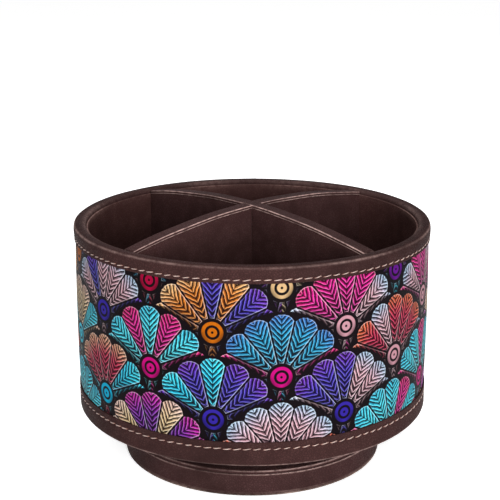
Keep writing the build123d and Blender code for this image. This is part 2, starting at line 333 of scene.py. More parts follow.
def times(tree, first, second):
    """Product of two values."""
    return maths(tree, "MULTIPLY", first, second)


def plus(tree, first, second):
    """Sum of two values."""
    return maths(tree, "ADD", first, second)


def minus(tree, first, second):
    """First value less the second."""
    return maths(tree, "SUBTRACT", first, second)


def over(tree, first, second):
    """First value divided by the second."""
    return maths(tree, "DIVIDE", first, second)


def fade(tree, value, low, high, to_low=0.0, to_high=1.0):
    """Smooth step: a value that goes from low to high becomes one that goes from to_low to to_high."""
    inputs = {"Value": value, "From Min": low, "From Max": high, "To Min": to_low, "To Max": to_high}
    return add(tree, "MapRange", inputs, interpolation_type="SMOOTHSTEP").outputs["Result"]


def blend(tree, factor, first, second, way="MIX"):
    """Mix of two colours by a factor."""
    return add(tree, "Mix", {0: factor, 6: first, 7: second}, data_type="RGBA", blend_type=way).outputs[2]


# %% Places, noise, marks and bump
def own_place(tree):
    """Place of a point in the piece's own coordinates, in metres."""
    return add(tree, "TexCoord").outputs["Object"]


def noise(tree, place, scale, detail=3.0, rough=0.55):
    """Noise value at a place, scale in waves for each unit of the place."""
    inputs = {"Vector": place, "Scale": scale, "Detail": detail, "Roughness": rough}
    return add(tree, "TexNoise", inputs).outputs["Fac"]


def read_mark(tree, label):
    """Value that was marked on the mesh, point by point, under a label."""
    return add(tree, "Attribute", attribute_name=label).outputs["Fac"]


def set_bump(tree, shader, height, strength, depth):
    """Let a height of some depth in metres tilt the shader's normal."""
    bumped = add(tree, "Bump", {"Strength": strength, "Distance": depth, "Height": height})
    tree.links.new(bumped.outputs[0], shader["Normal"])


# %% Node groups
def group(name, inputs, outputs):
    """Empty node group with named sockets, each with its kind, and the sockets inside at its two ends."""
    tree = bpy.data.node_groups.new(name, "ShaderNodeTree")
    for way, sockets in (("INPUT", inputs), ("OUTPUT", outputs)):
        for label, kind in sockets.items():
            tree.interface.new_socket(label, in_out=way, socket_type="NodeSocket" + kind)
    return tree, tree.nodes.new("NodeGroupInput").outputs, tree.nodes.new("NodeGroupOutput").inputs


def use(tree, made_group, **inputs):
    """Place a group in a material and return its outputs."""
    node = tree.nodes.new("ShaderNodeGroup")
    node.node_tree = made_group
    plug(tree, node, inputs)
    return node.outputs


# %% [markdown]
# ## Brown leather
#
# The cover is coated leather with a fine pebble grain: small raised cells with creases between them, a
# colour that drifts a little over the hide, and paler lines along folds and edges. These lines are
# mostly painted highlights, with some wear from rubbing. An image of leather would repeat and would not
# follow the folds. Three small groups build it instead: one for the grain, one for the colour, one for
# the paler lines. The folds are marked on the meshes, point by point, with a value named `fold`, which
# says how much paler each point is painted.

# %% Grain, tone and paler fold lines (painted highlights and wear) as node groups
WARP_SCALE = 260.0
WARP_REACH = 0.0009
FINER_CELLS = 2.7
WRINKLE_SHARE = 0.35
PORE_SHARE = 0.25
LIGHT_SHARE = 0.35
CREASE_SHARE = 0.65
RUB_AND_HIGHLIGHT_SHARE = 0.9


def make_grain_group():
    """Leather grain: cells from the distance to a cell's edge, with finer wrinkles and pores on top."""
    inputs, outputs = dict(Place="Vector", Cells="Float"), dict(Height="Float", Crease="Float")
    tree, given, result = group("Leather grain", inputs, outputs)
    waves = {"Vector": given["Place"], "Scale": WARP_SCALE, "Detail": 2.0}
    warp = add(tree, "TexNoise", waves).outputs["Color"]
    bent = add(tree, "VectorMath", {0: warp, "Scale": WARP_REACH}, operation="SCALE").outputs[0]
    place = add(tree, "VectorMath", {0: given["Place"], 1: bent}, operation="ADD").outputs[0]
    cells = add(tree, "TexVoronoi", {"Vector": place, "Scale": given["Cells"]}, feature="DISTANCE_TO_EDGE")
    pebble = fade(tree, cells.outputs["Distance"], 0.0, 0.32)
    fine_scale = times(tree, given["Cells"], FINER_CELLS)
    fine = add(tree, "TexVoronoi", {"Vector": place, "Scale": fine_scale}, feature="DISTANCE_TO_EDGE")
    wrinkle = fade(tree, fine.outputs["Distance"], 0.0, 0.3)
    pores = noise(tree, given["Place"], 5200.0, detail=2.0)
    raised = plus(tree, times(tree, wrinkle, WRINKLE_SHARE), pebble)
    tree.links.new(plus(tree, times(tree, pores, PORE_SHARE), raised), result["Height"])
    tree.links.new(minus(tree, 1.0, pebble), result["Crease"])
    return tree


def make_tone_group():
    """Leather colour: a base that drifts to a darker and a lighter tone in patches, darker in the creases."""
    inputs = dict(Place="Vector", Dark="Color", Base="Color", Light="Color", Crease="Float")
    tree, given, result = group("Leather tone", inputs, dict(Color="Color"))
    broad = fade(tree, noise(tree, given["Place"], 16.0), 0.35, 0.65)
    small = fade(tree, noise(tree, given["Place"], 150.0, detail=4.0), 0.35, 0.7)
    drift = blend(tree, broad, given["Dark"], given["Base"])
    patch = blend(tree, times(tree, small, LIGHT_SHARE), drift, given["Light"])
    deep = times(tree, given["Crease"], CREASE_SHARE)
    tree.links.new(blend(tree, deep, patch, given["Dark"]), result["Color"])
    return tree


def make_rub_and_highlight_group():
    """Paler fold lines, painted highlights and wear: a paler colour where the fold mark is high, broken up by
    noise along the fold.
    """
    inputs = dict(Color="Color", RubAndHighlight="Color", Fold="Float", Place="Vector")
    tree, given, result = group("Rubbed fold", inputs, dict(Color="Color"))
    flecks = noise(tree, given["Place"], 420.0, detail=4.0, rough=0.65)
    lengths = noise(tree, given["Place"], 22.0, detail=2.0)
    broken = fade(tree, flecks, 0.32, 0.62, to_low=0.3)
    stretch = fade(tree, lengths, 0.35, 0.62, to_low=0.2)
    share = times(tree, times(tree, broken, stretch), RUB_AND_HIGHLIGHT_SHARE)
    mask = times(tree, given["Fold"], share)
    tree.links.new(blend(tree, mask, given["Color"], given["RubAndHighlight"]), result["Color"])
    return tree


grain_group = make_grain_group()
tone_group = make_tone_group()
rub_and_highlight_group = make_rub_and_highlight_group()
print("leather groups:", grain_group.name, tone_group.name, rub_and_highlight_group.name)

# %% [markdown]
# All the leather on the object is one brown, and the liner's is more matte. One material for all would
# be simplest, but the dividers and the base stand in the shade of the drum, and there they would sink
# into one dark shape. So their leather is written a little lighter than the drum's strips, and the
# liner's lighter again.

# %% The leather materials
LEATHER_SHINE = 0.02
GRAIN_DEPTH = 0.00025
CREASE_ROUGHER = 0.2


def leather(name, dark, base, light, rub_and_highlight="dcb8b0", roughness=0.45, cells=1000.0, bump=0.65):
    """Coated leather: grain in the bump, drifting tone, and paler folds: painted highlights with some wear.
    """
    material, tree, shader = new_material(name)
    place = own_place(tree)
    grain = use(tree, grain_group, Place=place, Cells=cells)
    hide = dict(Dark=paint(dark), Base=paint(base), Light=paint(light))
    tone = use(tree, tone_group, Place=place, Crease=grain["Crease"], **hide)
    wear = dict(RubAndHighlight=paint(rub_and_highlight), Fold=read_mark(tree, "fold"), Place=place)
    worn = use(tree, rub_and_highlight_group, Color=tone["Color"], **wear)
    tree.links.new(worn["Color"], shader["Base Color"])
    duller = fade(tree, grain["Crease"], 0.0, 1.0, roughness, roughness + CREASE_ROUGHER)
    tree.links.new(duller, shader["Roughness"])
    set_bump(tree, shader, grain["Height"], bump, GRAIN_DEPTH)
    shader["Specular IOR Level"].default_value = LEATHER_SHINE
    return material


cover_leather = leather("Brown cover leather", "31201f", "442c2b", "563b39")
shaded_leather = leather("Brown shaded leather", "382524", "4e3434", "604544")
liner_leather = leather(
    "Brown liner leather", "3f2927", "533735", "634643", rub_and_highlight="b08c84", roughness=0.5, bump=0.5
)
print("leathers:", cover_leather.name, shaded_leather.name, liner_leather.name)

# %% [markdown]
# ## Dressing a piece
#
# Each new piece rides on the body that it belongs to, stands for its solid, and takes its material.
# These could be separate lines for every piece. One function says all of that, so that no step is
# forgotten.

# %% Tie a piece to the model
def dress(piece, material, body, slot, *solids):
    """Give a piece its material, the body it moves with and the solids that it replaces; slot is not used."""
    piece.data.materials.append(material)
    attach(piece, body)
    if solids:
        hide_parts(*solids)
    return piece


# %% [markdown]
# ## The sewn strips round the drum
#
# A strip is folded over the rim and sewn through the printed sheet below. A second strip goes round the
# foot of the drum and folds under it. Sewing pulls the leather in: along the seam there is a shallow
# furrow, deepest at the holes between two stitches, and between the seam and the fold the leather stays
# a little proud. The rim could be a torus with a texture, but then the furrow would not catch the
# light, so it is part of the shape.

# %% Seam values
STITCHES = 122
STEPS_PER_STITCH = 6
FURROW_DEPTH = 0.3
FURROW_WIDTH = 0.75
HOLE_PULL = 0.38
RIM_SEAM = 103.5
FOOT_SEAM = 31.2
RIM_STRIP_LOW = 102.1
foot_strip_top = high_of("bottom_binding")
strip_angles = round_angles(STITCHES * STEPS_PER_STITCH)


def furrow(angle, height, seam):
    """Depth of the sewn furrow: a bell across the seam, deeper at the holes, which are one to a stitch."""
    holes = 1 - HOLE_PULL + HOLE_PULL * np.cos(STITCHES * angle)
    return FURROW_DEPTH * bell(height - seam, FURROW_WIDTH) * holes


print("stitches to a seam:", STITCHES, "and", round(2 * pi * drum_radius / STITCHES, 2), "mm apart")

# %% Rim strip
RIM_OUTER_ROUND = 1.4
RIM_INNER_ROUND = 2.0
RIM_BULGE = 0.2
RIM_BULGE_WIDTH = 1.9
ARRIS_HIGHLIGHT = 0.48
ARRIS_WIDTH = 0.3 * RIM_OUTER_ROUND
ARRIS_INSET = 0.6 * ARRIS_WIDTH
ARRIS_DROP = 1.4 * ARRIS_WIDTH
INNER_HIGHLIGHT = 0.2
INNER_HIGHLIGHT_WIDTH = 1.2
INNER_HIGHLIGHT_INSET = 0.6
rim_hem_low = low_of("rim_binding")

rim_line = fold_line(
    [(drum_radius, RIM_STRIP_LOW), (drum_radius, rim_top), (hem_inside, rim_top), (hem_inside, rim_hem_low)],
    radii=[RIM_OUTER_ROUND, RIM_INNER_ROUND],
    run_steps=[18, 6, 5],
)
rim_section, rim_outside = leather_section(rim_line, LEATHER)
rim_radius, rim_height = rim_section[None, :, 0], rim_section[None, :, 1]
rim_face = rim_outside * (rim_radius > drum_radius - RIM_OUTER_ROUND)
rim_swell = rim_face * (
    RIM_BULGE * bell(rim_height - (RIM_SEAM + rim_top) / 2, RIM_BULGE_WIDTH)
    - furrow(strip_angles[:, None], rim_height, RIM_SEAM)
    + unevenness(strip_angles[:, None], rim_height, phase=0.4)
    + lapped_joint(strip_angles[:, None])
)
# Painted highlights: a pale line along the outer arris and a soft band round the inner edge, where the
# rounded rim catches the light.
from_arris = np.hypot(rim_radius - drum_radius + ARRIS_INSET, rim_height - rim_top + ARRIS_DROP)
from_inner = np.hypot(rim_radius - hem_inside - INNER_HIGHLIGHT_INSET, rim_height - rim_top + INNER_HIGHLIGHT_INSET)
arris_highlight = ARRIS_HIGHLIGHT * bell(from_arris, ARRIS_WIDTH)
inner_highlight = INNER_HIGHLIGHT * bell(from_inner, INNER_HIGHLIGHT_WIDTH)
rim_highlight = rim_outside * np.maximum(arris_highlight, inner_highlight)
rim_strip = round_strip("rim_strip", rim_section, strip_angles, rim_swell, rim_highlight)
dress(rim_strip, cover_leather, "drum", "brown_leather", "rim_binding")

# %% Foot strip
FOOT_ROUND = 1.4
FOOT_HIGHLIGHT = 0.65
FOOT_HIGHLIGHT_WIDTH = 0.36
FOOT_HIGHLIGHT_INSET = 0.3
FOOT_HIGHLIGHT_RISE = 0.5

foot_line = fold_line(
    [(wall_inside, drum_bottom), (drum_radius, drum_bottom), (drum_radius, foot_strip_top)],
    radii=[FOOT_ROUND],
    run_steps=[4, 30],
)
foot_section, foot_outside = leather_section(foot_line, LEATHER)
foot_radius, foot_height = foot_section[None, :, 0], foot_section[None, :, 1]
foot_face = foot_outside * (foot_height > drum_bottom + FOOT_ROUND / 2)
foot_swell = foot_face * (
    -furrow(strip_angles[:, None], foot_height, FOOT_SEAM)
    + unevenness(strip_angles[:, None], foot_height, phase=1.7)
    + lapped_joint(strip_angles[:, None])
)
# Painted highlight: a pale line along the lower fold of the foot.
foot_aside, foot_above = foot_radius - drum_radius, foot_height - drum_bottom
from_foot = np.hypot(foot_aside + FOOT_HIGHLIGHT_INSET, foot_above - FOOT_HIGHLIGHT_RISE)
foot_highlight = FOOT_HIGHLIGHT * foot_outside * bell(from_foot, FOOT_HIGHLIGHT_WIDTH)
foot_strip = round_strip("foot_strip", foot_section, strip_angles, foot_swell, foot_highlight)
dress(foot_strip, cover_leather, "drum", "brown_leather", "bottom_binding")

# %% [markdown]
# ## Seam thread
#
# The two seams are sewn with pale thread. Each stitch is a short bar of twisted thread that rises out
# of one hole and dips into the next, at a slight slant. Towards the holes it is painted darker and
# redder: painted shade where it sinks into the leather. A dashed texture would look flat from the side,
# so every stitch is a small closed tube. All the stitches of a seam are one array: the first axis counts
# stitches, and a seeded generator makes them a little unequal, as handwork is.

# %% Thread material
def thread_material():
    """Two-ply cotton: slanted stripes from the twist, fine fibre noise, painted shade by the holes and a soft
    sheen.
    """
    material, tree, shader = new_material("Seam thread")
    ply = fade(tree, maths(tree, "SINE", read_mark(tree, "twist")), -0.9, 0.4)
    fibre = noise(tree, own_place(tree), 6500.0)
    # Painted shade: darker and redder towards both holes, where the thread sinks into the leather.
    hole_shade = fade(tree, read_mark(tree, "hole"), 0.2, 0.75, to_high=0.9)
    yarn = blend(tree, fade(tree, fibre, 0.3, 0.7), paint("c0a095"), paint("ecd6cc"))
    plied = blend(tree, ply, paint("a07c70"), yarn)
    tree.links.new(blend(tree, hole_shade, plied, paint("8a4f3a")), shader["Base Color"])
    tree.links.new(fade(tree, fibre, 0.2, 0.8, to_low=0.55, to_high=0.75), shader["Roughness"])
    set_bump(tree, shader, ply, strength=0.5, depth=0.0001)
    shader["Sheen Weight"].default_value = 0.3
    return material


seam_thread = thread_material()
print("thread:", seam_thread.name)

# %% Both seams
THREAD_RADIUS = 0.19
STITCH_HALF = 1.9
STITCH_SLANT = 0.3
STITCH_RISE = 0.2
STITCH_DIP = 0.45
PLY_WIND = 5.5
PLY_SWELL = 0.1
thread_dice = np.random.default_rng(11)


def each_stitch(low, high):
    """One random value between low and high for each stitch, ready to spread along and round the thread."""
    return thread_dice.uniform(low, high, STITCHES)[:, None, None]


def sew(name, radius, height):
    """Stitches round the drum at a radius and height.

    Along a stitch t goes from -1 to 1: the thread runs t times half its length round the drum, rises by
    rise - dip * t squared out of the leather, climbs by slant * t, and thins towards both holes. Round the
    thread, its radius swells twice a turn, and the swelling winds along it, which gives two plies. The mark
    `twist` follows the plies, and the mark `hole` is t squared, 1 at both holes.
    """
    middle = (2 * pi * (np.arange(STITCHES) + 0.5) / STITCHES)[:, None, None]
    half = STITCH_HALF * each_stitch(0.88, 1.1)
    slant = STITCH_SLANT * each_stitch(0.5, 1.4)
    drop = each_stitch(-0.12, 0.12)
    girth = each_stitch(0.85, 1.15)
    t = np.linspace(-1, 1, 9)[None, :, None]
    spin = np.linspace(0, 2 * pi, 8, endpoint=False)[None, None, :]
    twist = 2 * spin - PLY_WIND * t
    thick = THREAD_RADIUS * girth * np.sqrt(1.02 - t**6) * (1 + PLY_SWELL * np.cos(twist))
    angle = middle + half * t / radius
    out = radius + STITCH_RISE - STITCH_DIP * t**2 + thick * np.cos(spin)
    up = height + drop + slant * t + thick * np.sin(spin)
    points = np.stack(np.broadcast_arrays(out * np.cos(angle), out * np.sin(angle), up), axis=-1)
    stitches = skin(name, points, close_ends=True, marks={"twist": twist, "hole": t**2})
    return dress(stitches, seam_thread, "drum", "brown_leather")


seam_radius = drum_radius - FURROW_DEPTH / 2
sew("rim_seam_stitches", seam_radius, RIM_SEAM)
sew("foot_seam_stitches", seam_radius, FOOT_SEAM)

# %% [markdown]
# ## The printed sheet
#
# The sheet round the drum is printed with a bright pattern on a dark ground. This one carries a
# traditional scallop pattern: rows of round fans that overlap like fish scales. It could be modelled
# fan by fan, but print is flat, so it is worked out in the material from the sheet's own flat chart, in
# millimetres. For a point, the three nearest rows are tried from the front row back, and the first fan
# that reaches the point is the one that shows.

# %% One row of fans as a node group
FANS = 9
panel_radius = high_of("printed_panel", 0)
FAN_WIDTH = 2 * pi * panel_radius / FANS
FAN_RADIUS = FAN_WIDTH / 2
ROW_STEP = 0.34 * FAN_WIDTH
ROW_TONE = 0.21
CHANCE_TONE = 0.45
CHANCE_SEED = 3.0


def make_fan_row_group():
    """Nearest fan of one row.

    Fans stand one width apart, and every other row is shifted by half a width. The group gives how far
    the point is from the fan's centre as a share of its radius, the turn from upright, a tone for the
    fan's colour, and whether the fan reaches the point.
    """
    inputs, outputs = dict(Across="Float", Up="Float", Row="Float"), dict(Fan="Vector", Inside="Float")
    tree, given, result = group("Fan row", inputs, outputs)
    shift = times(tree, maths(tree, "FLOORED_MODULO", given["Row"], 2.0), 0.5)
    along = minus(tree, over(tree, given["Across"], FAN_WIDTH), shift)
    column = maths(tree, "FLOOR", plus(tree, along, 0.5))
    aside = times(tree, minus(tree, along, column), FAN_WIDTH)
    above = minus(tree, given["Up"], times(tree, given["Row"], ROW_STEP))
    spoke = add(tree, "CombineXYZ", {0: aside, 1: above}).outputs[0]
    length = add(tree, "VectorMath", {0: spoke}, operation="LENGTH").outputs["Value"]
    reach = over(tree, length, FAN_RADIUS)
    turn = over(tree, maths(tree, "ARCTAN2", aside, above), pi)
    seat = maths(tree, "FLOORED_MODULO", plus(tree, column, shift), float(FANS))
    whole_seat = maths(tree, "ROUND", times(tree, seat, 2.0))
    cell = add(tree, "CombineXYZ", {0: whole_seat, 1: given["Row"], 2: CHANCE_SEED}).outputs[0]
    chance = add(tree, "TexWhiteNoise", {"Vector": cell}).outputs["Value"]
    by_place = plus(tree, times(tree, seat, 2.0 / FANS), times(tree, given["Row"], ROW_TONE))
    tone = maths(tree, "FRACT", plus(tree, by_place, times(tree, chance, CHANCE_TONE)))
    fan = add(tree, "CombineXYZ", {0: reach, 1: turn, 2: tone}).outputs[0]
    tree.links.new(fan, result["Fan"])
    tree.links.new(maths(tree, "LESS_THAN", reach, 1.0), result["Inside"])
    return tree


fan_row_group = make_fan_row_group()
print("fans:", FANS, "round the drum,", round(FAN_WIDTH, 1), "mm wide, rows", round(ROW_STEP, 1), "mm apart")


# %% The fan that shows
def pick(tree, inside, front, behind):
    """Vector of the front fan where the point is inside it, or else of the one behind."""
    return add(tree, "Mix", {0: inside, 4: behind, 5: front}, data_type="VECTOR").outputs[1]


def front_fan(tree, sheet):
    """Fan that shows at a place on the sheet: its reach, turn, tone, and the shade of fans in front."""
    flat = add(tree, "SeparateXYZ", {0: sheet}).outputs
    first_row = maths(tree, "CEIL", over(tree, minus(tree, flat[1], FAN_RADIUS), ROW_STEP))
    rows = []
    for behind in range(3):
        row_number = plus(tree, first_row, float(behind))
        rows.append(use(tree, fan_row_group, Across=flat[0], Up=flat[1], Row=row_number))
    back_fans = pick(tree, rows[1]["Inside"], rows[1]["Fan"], rows[2]["Fan"])
    shown_fan = pick(tree, rows[0]["Inside"], rows[0]["Fan"], back_fans)
    reach, turn, tone = add(tree, "SeparateXYZ", {0: shown_fan}).outputs
    shade, covered = 1.0, 0.0
    for row in rows[:2]:
        covered = maths(tree, "MAXIMUM", row["Inside"], covered)
        row_reach = add(tree, "SeparateXYZ", {0: row["Fan"]}).outputs[0]
        clear = fade(tree, row_reach, 0.99, 1.16, to_low=0.1)
        shade = times(tree, maths(tree, "MAXIMUM", covered, clear), shade)
    return dict(reach=reach, turn=turn, tone=tone, shade=shade)


# %% [markdown]
# Each fan is cut into petals round an eye. A petal has its own ink, dark at the root and bright at the
# tip, with slanted veins, a dark outline and a fine pale line inside it. An image would hold all that
# too, but only at one sharpness, and distances worked out in millimetres stay crisp at any size. A
# petal's brighter tone is its ink screened with itself, because mixing in white would grey it.

# %% Inks and petals
INKS = ["0ab6e0", "3cd2ee", "0a8ab8", "3526a2", "681290", "d00a80", "b2063e", "d06c08", "e4bc88", "d29aa6"]
DARK_INK = paint("0d070b")
PALE_INK = paint("f2f8f8")
TIP_TONE = 0.1
OTHER_TONE = 0.37
PETALS = 7
PETAL_ANGLE = pi / PETALS
TIP_REACH = 0.975
TIP_ROUND = 0.62
TIP_POWER = 2.5
OUTLINE = 0.42
EYE = 0.2
EYE_RINGS = 11.0


def ink(tree, tone):
    """One of the palette's inks for a tone from 0 to 1, with no mixing between inks."""
    inks = add(tree, "ValToRGB", {0: tone})
    inks.color_ramp.interpolation = "CONSTANT"
    stops = inks.color_ramp.elements
    stops[-1].position = (len(INKS) - 1) / len(INKS)
    for number in range(1, len(INKS) - 1):
        stops.new(number / len(INKS))
    for stop, code in zip(stops, INKS):
        stop.color = paint(code)
    return inks.outputs["Color"]


def petal_place(tree, fan):
    """Place in a petal: its number, the side from -0.5 to 0.5, and three distances in millimetres.

    These are the distance from the fan's centre, from the petal's middle line, and in from its outline, which
    is the nearest of its sides, its round tip and the eye.
    """
    radius = times(tree, fan["reach"], FAN_RADIUS)
    petal = plus(tree, times(tree, fan["turn"], float(PETALS)), 0.5)
    side = minus(tree, maths(tree, "FRACT", petal), 0.5)
    aside = maths(tree, "ABSOLUTE", side)
    arc = times(tree, radius, PETAL_ANGLE)
    to_side = times(tree, minus(tree, 0.5, aside), arc)
    tip = minus(tree, TIP_REACH, times(tree, maths(tree, "POWER", aside, TIP_POWER), TIP_ROUND))
    to_tip = times(tree, minus(tree, tip, fan["reach"]), FAN_RADIUS)
    to_eye = times(tree, minus(tree, fan["reach"], EYE), FAN_RADIUS)
    inward = maths(tree, "MINIMUM", maths(tree, "MINIMUM", to_side, to_tip), to_eye)
    number = maths(tree, "FLOOR", petal)
    return dict(number=number, side=side, radius=radius, across=times(tree, aside, arc), inward=inward)


print("inks:", len(INKS), "and", PETALS, "petals to a half turn of a fan")

# %% Layers of a petal
VEIN_STEP = 2.3
VEIN_SLANT = 1.2
VEIN_WOBBLE = 1.6
SPARKLE = 0.1
TONE_SPREAD = 97.0


def petal_wash(tree, sheet, fan, petal):
    """Washed ink of a petal, its plain ink, and its ink screened with itself.

    The wash brightens towards one side of the tip, darkens towards the root, and is mottled by noise.
    """
    spread_tone = times(tree, fan["tone"], TONE_SPREAD)
    seat = add(tree, "CombineXYZ", {0: petal["number"], 1: spread_tone}).outputs[0]
    chance = add(tree, "TexWhiteNoise", {"Vector": seat}, noise_dimensions="2D").outputs["Value"]
    other = times(tree, maths(tree, "GREATER_THAN", chance, 0.6), OTHER_TONE)
    petal_tone = maths(tree, "FRACT", plus(tree, fan["tone"], other))
    tip_tone = maths(tree, "FRACT", plus(tree, petal_tone, TIP_TONE))
    towards_tip = fade(tree, fan["reach"], 0.6, 1.0, to_high=0.6)
    plain = blend(tree, towards_tip, ink(tree, petal_tone), ink(tree, tip_tone))
    bright = blend(tree, 1.0, plain, plain, "SCREEN")
    one_side = fade(tree, petal["side"], -0.4, 0.3)
    glow = times(tree, fade(tree, fan["reach"], 0.5, 0.85, to_high=0.85), one_side)
    root = fade(tree, fan["reach"], 0.22, 0.75, to_low=0.92, to_high=0.0)
    risen = blend(tree, root, blend(tree, glow, plain, bright), DARK_INK)
    clouds = noise(tree, sheet, 0.8, detail=4.0, rough=0.7)
    mottle = fade(tree, clouds, 0.3, 0.7, to_low=0.75, to_high=0.0)
    return blend(tree, mottle, risen, DARK_INK), plain, bright


def petal_veins(tree, sheet, petal, washed, bright):
    """Slanted veins: a phase grows outwards and falls off aside, lit past each dark line, and a dark rib."""
    wobble = times(tree, noise(tree, sheet, 0.3, detail=2.0), VEIN_WOBBLE)
    outwards = plus(tree, petal["radius"], wobble)
    slanted = minus(tree, outwards, times(tree, petal["across"], VEIN_SLANT))
    phase = maths(tree, "FRACT", over(tree, slanted, VEIN_STEP))
    sparkle = blend(tree, SPARKLE, bright, paint("f4faf8"))
    shone = blend(tree, fade(tree, phase, 0.12, 0.5, to_low=0.85, to_high=0.0), washed, sparkle)
    scaled = blend(tree, fade(tree, phase, 0.3, 0.9, to_high=0.95), shone, DARK_INK)
    line = maths(tree, "ABSOLUTE", minus(tree, phase, 0.5))
    veined = blend(tree, fade(tree, line, 0.31, 0.45, to_high=0.95), scaled, DARK_INK)
    rib = fade(tree, petal["across"], 0.05, 0.28, to_low=0.8, to_high=0.0)
    return blend(tree, rib, veined, DARK_INK)


def petal_edge(tree, petal, veined, plain):
    """Dark outline of a petal and, just inside it, a fine pale line that is stronger on one side."""
    inward = petal["inward"]
    starts = fade(tree, inward, OUTLINE, OUTLINE + 0.15)
    ends = fade(tree, inward, OUTLINE + 0.4, OUTLINE + 0.2)
    one_side = fade(tree, petal["side"], -0.3, 0.3, to_low=0.15, to_high=0.9)
    lit = times(tree, times(tree, starts, ends), one_side)
    rimmed = blend(tree, lit, veined, blend(tree, 0.4, plain, PALE_INK))
    return blend(tree, fade(tree, inward, OUTLINE - 0.2, OUTLINE + 0.05), DARK_INK, rimmed)


def fan_eye(tree, fan):
    """Eye of a fan: dark rings at equal steps of its reach on an ink of its own."""
    step = maths(tree, "FRACT", times(tree, fan["reach"], EYE_RINGS))
    rings = maths(tree, "ABSOLUTE", minus(tree, step, 0.5))
    eye_tone = maths(tree, "FRACT", plus(tree, fan["tone"], OTHER_TONE))
    return blend(tree, fade(tree, rings, 0.22, 0.34, to_low=0.3), ink(tree, eye_tone), DARK_INK)


# %% The printed leather
PRINT_SHINE = 0.04


def printed_leather():
    """Smooth leather printed with overlapping fans: petals and eyes, darker beside a fan in front."""
    material, tree, shader = new_material("Printed leather")
    chart = add(tree, "UVMap", uv_map="Wrap").outputs[0]
    sheet = add(tree, "VectorMath", {0: chart, "Scale": 1 / MM}, operation="SCALE").outputs[0]
    fan = front_fan(tree, sheet)
    petal = petal_place(tree, fan)
    washed, plain, bright = petal_wash(tree, sheet, fan, petal)
    petals = petal_edge(tree, petal, petal_veins(tree, sheet, petal, washed, bright), plain)
    past_eye = fade(tree, fan["reach"], EYE - 0.02, EYE + 0.005)
    fans = blend(tree, past_eye, fan_eye(tree, fan), petals)
    tree.links.new(blend(tree, fan["shade"], paint("0c070a"), fans), shader["Base Color"])
    grain = use(tree, grain_group, Place=own_place(tree), Cells=1300.0)
    duller = fade(tree, grain["Crease"], 0.0, 1.0, to_low=0.5, to_high=0.65)
    tree.links.new(duller, shader["Roughness"])
    set_bump(tree, shader, grain["Height"], strength=0.18, depth=0.0002)
    shader["Specular IOR Level"].default_value = PRINT_SHINE
    return material


print_leather = printed_leather()
print("print:", print_leather.name, "with", len(print_leather.node_tree.nodes), "nodes")

# %% [markdown]
# The sheet is glued round the drum, and the two sewn strips hold its edges down, so between them it
# stands a little proud. A plain cylinder would show the print as well, but the light on it would be
# dead even. So the sheet's radius swells with a sine of the height, and its quads carry the flat chart
# that the print reads.

# %% Printed sheet
PANEL_BULGE = 0.78
PANEL_ROWS = 60
PANEL_STEPS = 480
PANEL_LAP = 0.8
PANEL_STEEPNESS = 0.3
panel_low = low_of("printed_panel")
panel_high = high_of("printed_panel")
panel_heights = np.linspace(panel_low, panel_high, PANEL_ROWS)
panel_line = np.stack([np.full(PANEL_ROWS, panel_radius), panel_heights], axis=1)
panel_section, panel_outside = leather_section(panel_line, LEATHER)
panel_angles = round_angles(PANEL_STEPS)
panel_height = panel_section[None, :, 1]
shown = np.clip((panel_height - foot_strip_top) / (RIM_STRIP_LOW - foot_strip_top), 0, 1)
panel_swell = panel_outside * np.sin(pi * shown) ** PANEL_STEEPNESS * (
    PANEL_BULGE
    + unevenness(panel_angles[:, None], panel_height, phase=2.9, amount=0.05)
    + PANEL_LAP * lapped_joint(panel_angles[:, None])
)
row_places = np.append(panel_angles, panel_angles[0] + 2 * pi) * panel_radius
column_places = np.append(panel_section[:, 1], panel_section[0, 1]) - panel_low
printed_sheet = skin(
    "printed_sheet",
    ring(panel_section, panel_angles, panel_swell),
    wrap_rows=True,
    chart=(row_places, column_places),
)
dress(printed_sheet, print_leather, "drum", "printed_leather", "printed_panel")

# %% [markdown]
# ## Inside the drum
#
# The inside is lined with a thinner, more matte leather. The liner ends just below the rim, where its
# cut edge shows as a fine line. That line is a painted highlight, and a softer painted highlight fades
# down from it. It could be the inner side of one thick wall, but then that edge would be missing. So it
# is a strip of its own, and its rows lie closer together near the top, where the painted line is.

# %% Liner
GLUE = 0.03
LINER_EDGE_HIGHLIGHT = 0.7
LINER_EDGE_WIDTH = 0.3
LINER_BAND_HIGHLIGHT = 0.3
LINER_BAND_WIDTH = 1.9
FINE_ROWS_END = 1.2
COARSE_ROWS_START = 2.5
ROUND_STEPS = 360
liner_top = high_of("inner_liner")
fine_rows = np.linspace(liner_top, liner_top - FINE_ROWS_END, 9)
coarse_rows = np.linspace(liner_top - COARSE_ROWS_START, floor_top, 28)
liner_rows = np.concatenate([fine_rows, coarse_rows])
liner_line = np.stack([np.full(len(liner_rows), liner_inside), liner_rows], axis=1)
liner_section, liner_outside = leather_section(liner_line, LINER_LEATHER - GLUE)
liner_angles = round_angles(ROUND_STEPS)
liner_height = liner_section[None, :, 1]
liner_swell = liner_outside * unevenness(liner_angles[:, None], liner_height, phase=4.2, amount=0.05)
# Painted highlights: a pale line at the liner's cut edge and a soft band fading down below it.
below_top = liner_height - liner_top
liner_edge_highlight = LINER_EDGE_HIGHLIGHT * bell(below_top, LINER_EDGE_WIDTH)
liner_band_highlight = LINER_BAND_HIGHLIGHT * bell(below_top, LINER_BAND_WIDTH)
liner_highlight = np.maximum(liner_edge_highlight, liner_band_highlight)
drum_liner = round_strip("drum_liner", liner_section, liner_angles, liner_swell, liner_highlight)
dress(drum_liner, liner_leather, "drum", "liner_leather", "inner_liner")

# %% [markdown]
# Each compartment has a lining of its own on the floor, cut to the sector between two dividers. One
# round disc would do, but the dividers would cut through it. So each lining is a small sector whose
# lines run from its apex to its arc, and its middle lies a little lower.

# %% Floor linings
DIVIDER_HALF = 3.0
DIVIDER_TURN = radians(48)
LINING = 1.0
LINING_SAG = 0.12
LINING_PLAY = 0.2


